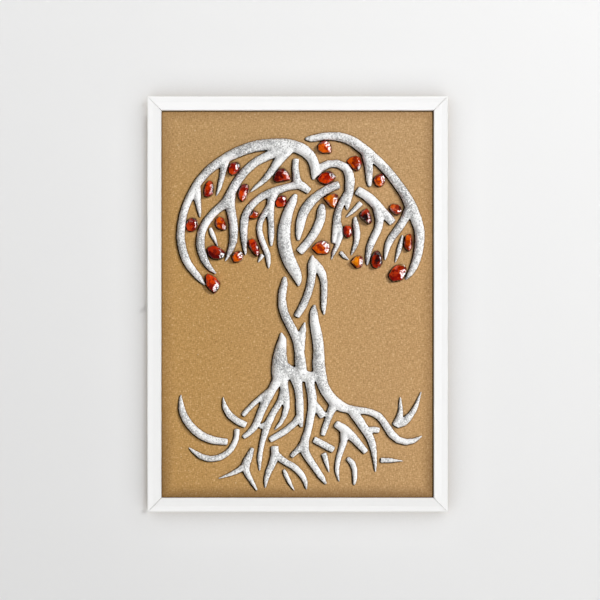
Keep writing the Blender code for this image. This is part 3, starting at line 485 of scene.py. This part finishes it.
def stage_material(name, tone, own_light, shade_reach):
    """A pale matte sheet that nothing behind it can see. Its own light softens the shadows on it."""
    s = Shader(name)
    # a soft shadow near things in front is painted into its colour and its own light
    shade = s.span(s.closeness(shade_reach), 0.0, 0.6, 1.0, SHADOW_LEFT)
    plaster = s.mix(s.noise(40.0, 3.0), tuple(0.99 * c for c in tone), tone)
    colour = s.mix(shade, (0.0, 0.0, 0.0), plaster)
    # painted light: its own light grows towards the right and the top
    lift = s.math("MULTIPLY_ADD", s.x, LIFT_RIGHT, own_light)
    lift = s.math("MULTIPLY_ADD", s.z, LIFT_UP, lift)
    s.set(Base_Color=colour, Roughness=1.0, Specular_IOR_Level=0.0)
    s.set(Emission_Color=(1.0, 1.0, 1.0), Emission_Strength=s.math("MULTIPLY", lift, shade))
    geometry = s.tree.nodes.new("ShaderNodeNewGeometry")
    clear = s.tree.nodes.new("ShaderNodeBsdfTransparent")
    either = s.tree.nodes.new("ShaderNodeMixShader")
    s.feed(either.inputs[0], geometry.outputs["Backfacing"])
    s.feed(either.inputs[1], s.surface.outputs[0])
    s.feed(either.inputs[2], clear.outputs[0])
    s.feed(s.tree.nodes["Material Output"].inputs["Surface"], either.outputs[0])
    return s.material


# Meshes


def new_piece(name, mesh, material):
    obj = bpy.data.objects.new(name, mesh)
    bpy.context.scene.collection.objects.link(obj)
    mesh.materials.clear()
    mesh.materials.append(material)
    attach(obj, BODY)
    return obj


def welded_copy(node):
    """A copy of a CAD node's mesh, with the vertices that its flat shading split joined again."""
    shape = bmesh.new()
    shape.from_mesh(node.data)
    bmesh.ops.remove_doubles(shape, verts=shape.verts, dist=WELD_REACH)
    mesh = bpy.data.meshes.new(node.name + "_copy")
    shape.to_mesh(mesh)
    shape.free()
    return mesh


def applied(mesh, *modifiers):
    """The mesh after modifiers, each given as (kind, settings)."""
    holder = bpy.data.objects.new("holder", mesh)
    bpy.context.scene.collection.objects.link(holder)
    for kind, settings in modifiers:
        modifier = holder.modifiers.new(kind, kind)
        for name, value in settings.items():
            setattr(modifier, name, value)
    graph = bpy.context.evaluated_depsgraph_get()
    made = bpy.data.meshes.new_from_object(holder.evaluated_get(graph), depsgraph=graph)
    bpy.data.objects.remove(holder)
    return made


def vertex_arrays(mesh):
    places = np.empty(len(mesh.vertices) * 3, np.float32)
    normals = np.empty(len(mesh.vertices) * 3, np.float32)
    mesh.vertices.foreach_get("co", places)
    mesh.vertices.foreach_get("normal", normals)
    return places.reshape(-1, 3).astype(float), normals.reshape(-1, 3).astype(float)


def noise_at(places, size, shift):
    """Noise from about -1 to 1 at each place."""
    return np.array([noise.noise(Vector(place / size) + shift) for place in places])


def blended(mesh):
    """Fills the valleys where rolls of clay meet, as a finger does, and hardly touches the ridges."""
    ends = np.empty(len(mesh.edges) * 2, np.int32)
    mesh.edges.foreach_get("vertices", ends)
    a, b = ends.reshape(-1, 2).T
    both, other = np.concatenate([a, b]), np.concatenate([b, a])
    count = len(mesh.vertices)
    degree = np.bincount(both, minlength=count)[:, None]
    for _ in range(BLEND_STAGES):
        places, normals = vertex_arrays(mesh)
        for _ in range(BLEND_ROUNDS):
            near = np.stack([np.bincount(both, places[other, k], count) for k in range(3)], axis=1)
            step = near / degree - places
            rise = (step * normals).sum(axis=1)[:, None]
            places += step * np.where(rise > 0, VALLEY_STEP, RIDGE_STEP)
        mesh.vertices.foreach_set("co", places.astype(np.float32).ravel())
        mesh.update()


def roughened(mesh, underside):
    """Lumps and grains pushed into clay, whose underside is pressed onto the board."""
    places, normals = vertex_arrays(mesh)
    height = underside - places[:, 1]
    free = np.clip(height / SKIRT, 0, 1) ** 2
    swing = PATCH_SWING * noise_at(places, PATCH_SIZE, Vector((1.7, 2.9, 4.1)))
    patch = np.clip(PATCH_MIDDLE + swing, PATCH_LEAST, 1)
    lumps = noise_at(places, LUMP_SIZE, Vector((3.1, 0.7, 5.3))) * LUMP_DEPTH
    between_grains = np.array([noise.voronoi(Vector(place / GRAIN_SIZE))[0][0] for place in places])
    rough = (GRAIN_MIDDLE - between_grains) * GRAIN_DEPTH * patch
    places += normals * ((lumps + rough) * free)[:, None]
    places[:, 1] += PRESS * (1 - np.clip(height / SKIRT, 0, 1))
    mesh.vertices.foreach_set("co", places.astype(np.float32).ravel())
    mesh.update()
    depth = np.clip((between_grains - PIT_START) / PIT_SPAN, 0, 1) * patch
    pits = mesh.attributes.new("pits", "FLOAT", "POINT")
    pits.data.foreach_set("value", depth.astype(np.float32))


def clay_from(name, mesh, underside, material):
    """A grainy, hand-rolled piece of clay from a plain closed mesh."""
    made = applied(mesh, ("REMESH", {"mode": "VOXEL", "voxel_size": CLAY_VOXEL}))
    made.name = name
    blended(made)
    roughened(made, underside)
    made.shade_smooth()
    return new_piece(name, made, material)


def twig_mesh(points, underside):
    """A tapered half-round roll through (x, height, width) points in mm."""
    shape = bmesh.new()
    loops = []
    for i, (x, z, width) in enumerate(points):
        ahead, behind = points[min(i + 1, len(points) - 1)], points[max(i - 1, 0)]
        along = Vector((ahead[0] - behind[0], ahead[1] - behind[1])).normalized()
        lift = 0.35 + 0.52 * width
        loop = []
        for k in range(TWIG_SIDES + 1):
            angle = math.pi * k / TWIG_SIDES
            out = math.cos(angle) * width / 2
            spot = (x - along.y * out, -lift * math.sin(angle), z + along.x * out)
            loop.append(shape.verts.new(Vector(spot) * MM + Vector((0, underside, 0))))
        loops.append(loop)
    count = TWIG_SIDES + 1
    for near, far in zip(loops, loops[1:]):
        for k in range(count):
            shape.faces.new((near[k], near[(k + 1) % count], far[(k + 1) % count], far[k]))
    shape.faces.new(loops[0])
    shape.faces.new(loops[-1])
    bmesh.ops.recalc_face_normals(shape, faces=shape.faces)
    mesh = bpy.data.meshes.new("twig")
    shape.to_mesh(mesh)
    shape.free()
    return mesh


def polished_chip(node, number, slot):
    """A tumbled copy of a CAD chip with a shiny face cut across one side, and its edges worn round."""
    low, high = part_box(node.name)
    middle, reach = (low + high) / 2, (high - low) / 2
    _, shiny_angle, depth, _ = CHIPS[number - 1]
    shape = bmesh.new()
    shape.from_mesh(welded_copy(node))
    bmesh.ops.dissolve_limit(shape, angle_limit=FACET_ANGLE, verts=shape.verts, edges=shape.edges)
    for turn, cut, steepness in ((0, depth, 1.0), *OTHER_CUTS):
        tilt = SHINY_TILT * steepness
        angle = math.radians(shiny_angle + turn)
        away = Vector((math.cos(angle), 0, math.sin(angle)))
        top = Vector((middle.x, low.y, middle.z))
        start = max((v.co - top).dot(away) for v in shape.verts if v.co.y < low.y + 0.3 * MM)
        normal = away * math.sin(tilt) + Vector((0, -math.cos(tilt), 0))
        place = top + away * start * (1 - cut)
        geometry = shape.verts[:] + shape.edges[:] + shape.faces[:]
        made = bmesh.ops.bisect_plane(
            shape, geom=geometry, dist=0.01 * MM, plane_co=place, plane_no=normal, clear_outer=True
        )
        edges = [e for e in made["geom_cut"] if isinstance(e, bmesh.types.BMEdge)]
        bmesh.ops.edgeloop_fill(shape, edges=edges)
    creases = shape.edges.layers.float.new("crease_edge")
    for edge in shape.edges:
        edge[creases] = EDGE_CREASE
    for vertex in shape.verts:
        vertex.co = middle + CHIP_GROWTH * (vertex.co - middle)
    bmesh.ops.recalc_face_normals(shape, faces=shape.faces)
    mesh = bpy.data.meshes.new(node.name)
    shape.to_mesh(mesh)
    shape.free()
    made = applied(mesh, ("SUBSURF", {"levels": 3, "render_levels": 3}))
    made.shade_smooth()
    obj = new_piece("polished_" + node.name, made, amber_material(slot, number, middle, reach))
    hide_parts(node.name)


def outline_of(mesh):
    """The outline of a convex mesh seen from the front, as (x, z) corners in order."""
    spots = sorted({(round(v.co.x, 6), round(v.co.z, 6)) for v in mesh.vertices})

    def chain(points):
        kept = []
        for p in points:
            while len(kept) > 1:
                a, b = kept[-2], kept[-1]
                if (b[0] - a[0]) * (p[1] - a[1]) - (b[1] - a[1]) * (p[0] - a[0]) > 0:
                    break
                kept.pop()
            kept.append(p)
        return kept[:-1]

    return chain(spots) + chain(spots[::-1])


def glue_beads(nodes, board_face, material):
    """Glue that squeezed out round each chip, as one low uneven bead per chip."""
    shape = bmesh.new()
    shake = random.Random(5)
    for node in nodes:
        corners = outline_of(node.data)
        middle = Vector((sum(x for x, _ in corners), sum(z for _, z in corners))) / len(corners)
        spread = [shake.uniform(*GLUE_SPREAD) * MM for _ in corners]
        rings = []
        for share, lift in GLUE_PROFILE:
            ring = []
            for (x, z), out in zip(corners, spread):
                away = (Vector((x, z)) - middle).normalized() * out * share
                ring.append(shape.verts.new((x + away.x, board_face - lift * MM, z + away.y)))
            rings.append(ring)
        count = len(corners)
        for near, far in zip(rings, rings[1:]):
            for k in range(count):
                shape.faces.new((near[k], near[(k + 1) % count], far[(k + 1) % count], far[k]))
        shape.faces.new(rings[0])
        shape.faces.new(rings[-1])
    bmesh.ops.recalc_face_normals(shape, faces=shape.faces)
    mesh = bpy.data.meshes.new("glue_beads")
    shape.to_mesh(mesh)
    shape.free()
    made = applied(mesh, ("SUBSURF", {"levels": 2, "render_levels": 2}))
    made.shade_smooth()
    new_piece("glue_beads", made, material)


def corner_nails(material):
    """A bent steel strip driven into the back across each mitre, a little proud of the wood."""
    shape = bmesh.new()
    frame_low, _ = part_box("frame_left")
    _, frame_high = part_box("frame_right")
    back = frame_high.y
    corners = [(1, 1, frame_low.x, frame_low.z), (1, -1, frame_low.x, frame_high.z)]
    corners += [(-1, 1, frame_high.x, frame_low.z), (-1, -1, frame_high.x, frame_high.z)]
    for side_x, side_z, x, z in corners:
        for inset in NAIL_INSETS:
            inward = Vector((side_x, 0, side_z)).normalized()
            across = Vector((inward.z, 0, -inward.x))
            tip = Vector((x + side_x * inset, back, z + side_z * inset))
            outline = [
                tip - inward * NAIL_THICK,
                tip - across * NAIL_ARM + inward * (NAIL_ARM * NAIL_RISE - NAIL_THICK),
                tip - across * NAIL_ARM + inward * NAIL_ARM * NAIL_RISE,
                tip,
                tip + across * NAIL_ARM + inward * NAIL_ARM * NAIL_RISE,
                tip + across * NAIL_ARM + inward * (NAIL_ARM * NAIL_RISE - NAIL_THICK),
            ]
            near = [shape.verts.new(p + Vector((0, NAIL_PROUD, 0))) for p in outline]
            far = [shape.verts.new(p - Vector((0, NAIL_DEEP, 0))) for p in outline]
            for k in range(len(outline)):
                j = (k + 1) % len(outline)
                shape.faces.new((near[k], near[j], far[j], far[k]))
            shape.faces.new(near)
            shape.faces.new(far)
    bmesh.ops.recalc_face_normals(shape, faces=shape.faces)
    mesh = bpy.data.meshes.new("corner_nails")
    shape.to_mesh(mesh)
    shape.free()
    new_piece("corner_nails", mesh, material)


def soften(node, width, angle=30.0):
    """Rounds a CAD node's edges by width millimetres, without touching its mesh."""
    weld = node.modifiers.new("weld", "WELD")
    weld.merge_threshold = WELD_REACH
    bevel = node.modifiers.new("worn_edges", "BEVEL")
    bevel.width = width * MM
    bevel.segments = 3
    bevel.limit_method = "ANGLE"
    bevel.angle_limit = math.radians(angle)
    bevel.harden_normals = True


def paint_node(node, material):
    node.data.materials.clear()
    node.data.materials.append(material)


# Stage


def sheet(name, corners, material):
    mesh = bpy.data.meshes.new(name)
    mesh.from_pydata(corners, [], [(0, 1, 2, 3)])
    mesh.materials.append(material)
    obj = bpy.data.objects.new(name, mesh)
    obj.visible_shadow = False
    obj.visible_glossy = False
    bpy.context.scene.collection.objects.link(obj)


def area_light(name, place, size, power, shiny):
    """A round lamp aimed at the middle of the frame. Only a shiny one shows in reflections."""
    light = bpy.data.lights.new(name, "AREA")
    light.shape = "DISK"
    light.size = size
    light.energy = power
    obj = bpy.data.objects.new(name, light)
    obj.location = place
    aim = Vector((0, 0, VIEW_MIDDLE[1])) - Vector(place)
    obj.rotation_euler = aim.to_track_quat("-Z", "Y").to_euler()
    obj.visible_glossy = shiny
    bpy.context.scene.collection.objects.link(obj)
    return obj.light_linking


def make_world():
    """A room that is dim all round, except for a tall window on the right that shiny things reflect."""
    world = bpy.data.worlds.new("soft_room")
    world.use_nodes = True
    tree = world.node_tree
    rays = tree.nodes.new("ShaderNodeLightPath")
    direction = tree.nodes.new("ShaderNodeTexCoord")
    axes = tree.nodes.new("ShaderNodeSeparateXYZ")
    tree.links.new(direction.outputs["Generated"], axes.inputs[0])

    def faded(axis, between, start, end):
        made = tree.nodes.new("ShaderNodeMapRange")
        made.interpolation_type = "SMOOTHSTEP"
        for socket, value in zip(made.inputs[1:5], (*between, start, end)):
            socket.default_value = value
        tree.links.new(axes.outputs[axis], made.inputs[0])
        return made.outputs[0]

    def joined(kind, *inputs, operation=None):
        made = tree.nodes.new(kind)
        if operation:
            made.operation = operation
        for socket, value in zip(made.inputs, inputs):
            tree.links.new(value, socket)
        return made.outputs[0]

    def background(colour, node=None):
        made = node or tree.nodes.new("ShaderNodeBackground")
        made.inputs["Color"].default_value = (*colour, 1.0)
        return made

    window = faded("X", WINDOW_FADE, WALLS_LIGHT, WINDOW_LIGHT)
    front = faded("Y", FRONT_FADE, 1.0, FRONT_LEFT)
    rear = faded("Y", REAR_FADE, 0.0, REAR_ROOM_LIGHT)
    facing = joined("ShaderNodeMath", window, front, operation="MULTIPLY")
    ambient = background((1.0, 1.0, 1.0), tree.nodes["Background"])
    ambient.inputs["Strength"].default_value = AMBIENT_LIGHT
    room = background((1.0, 1.0, 1.0))
    total = joined("ShaderNodeMath", facing, rear, operation="ADD")
    tree.links.new(total, room.inputs["Strength"])
    pale = background(BACKGROUND_TONE)
    is_glossy, is_camera = (rays.outputs[name] for name in ("Is Glossy Ray", "Is Camera Ray"))
    reflected = joined("ShaderNodeMixShader", is_glossy, ambient.outputs[0], room.outputs[0])
    seen = joined("ShaderNodeMixShader", is_camera, reflected, pale.outputs[0])
    tree.links.new(seen, tree.nodes["World Output"].inputs["Surface"])
    bpy.context.scene.world = world


def make_lights():
    """Lamps from the upper right for the relief, one above for the frame alone, and two behind."""
    rails, others = (bpy.data.collections.new(name) for name in ("rails", "not_rails"))
    for obj in bpy.context.scene.objects:
        if obj.type == "MESH":
            (rails if obj.name.startswith("frame_") else others).objects.link(obj)
    linking = {name: area_light(name, *rest) for name, *rest in LAMPS}
    linking["key"].receiver_collection = others
    linking["key"].blocker_collection = others
    linking["overhead"].receiver_collection = rails
    linking["soft_key"].receiver_collection = others


def make_stage(cad_high):
    y, z = cad_high.y + WALL_GAP, FLOOR_HEIGHT
    half, far = WALL_HALF_WIDTH, FLOOR_REACH
    wall = [(-half, y, z), (half, y, z), (half, y, WALL_TOP), (-half, y, WALL_TOP)]
    sheet("wall", wall, stage_material("pale_wall", *WALL_LOOK))
    floor = [(-far, -far, z), (far, -far, z), (far, far, z), (-far, far, z)]
    sheet("floor", floor, stage_material("pale_floor", *FLOOR_LOOK))
    make_lights()
    make_world()
    bpy.context.scene.view_settings.view_transform = "Standard"


def make_camera(face_y):
    data = bpy.data.cameras.new("camera")
    data.lens, data.sensor_width = LENS, SENSOR
    data.clip_start, data.clip_end = CLIP_START, CLIP_END
    distance = VIEW_WIDTH / SENSOR * LENS
    camera = bpy.data.objects.new("camera", data)
    camera.location = (VIEW_MIDDLE[0], face_y - distance, VIEW_MIDDLE[1])
    camera.rotation_euler = (math.pi / 2, 0, 0)
    bpy.context.scene.collection.objects.link(camera)
    bpy.context.scene.camera = camera


def main():
    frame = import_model()
    cad_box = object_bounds()
    nodes = frame["nodes"]
    slots = {entry["node"]: entry["material_slot"] for entry in frame["record"]["subparts"]}
    board_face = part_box("art_board")[0].y

    clay = clay_material()
    for name in sorted(n for n in nodes if n.startswith("clay_")):
        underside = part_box(name)[1].y
        obj = clay_from("sculpted_" + name, welded_copy(nodes[name]), underside, clay)
        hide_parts(name)
    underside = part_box("clay_trunk_fork")[1].y
    for number, points in enumerate(TWIGS, start=1):
        clay_from(f"clay_twig_{number}", twig_mesh(points, underside), underside, clay)

    chips = [nodes[name] for name in sorted(nodes) if name.startswith("amber_")]
    for number, node in enumerate(chips, start=1):
        polished_chip(node, number, slots[node.name])
    glue_beads(chips, board_face, glue_material())

    paint_node(nodes["art_board"], kraft_material())
    paint_node(nodes["back_panel"], hardboard_material())
    for side, run in (("bottom", "x"), ("top", "x"), ("left", "z"), ("right", "z")):
        node = nodes["frame_" + side]
        paint_node(node, paint_material("painted_" + side, run))
        soften(node, 0.25)
    steel = metal_material("zinc", (0.70, 0.71, 0.72), (0.38, 0.38, 0.37), 0.26)
    brass = metal_material("brass", (0.80, 0.60, 0.26), (0.38, 0.24, 0.10), 0.20)
    for name in ("turn_button_left", "turn_button_right", "turn_screw_left", "turn_screw_right"):
        paint_node(nodes[name], steel)
        soften(nodes[name], 0.12)
    for name in ("hanger_strap", "hanger_rivet", "hanger_ring"):
        paint_node(nodes[name], brass)
        soften(nodes[name], 0.10, 40.0)
    corner_nails(steel)

    make_stage(cad_box[1])
    make_camera(cad_box[0].y)


main()
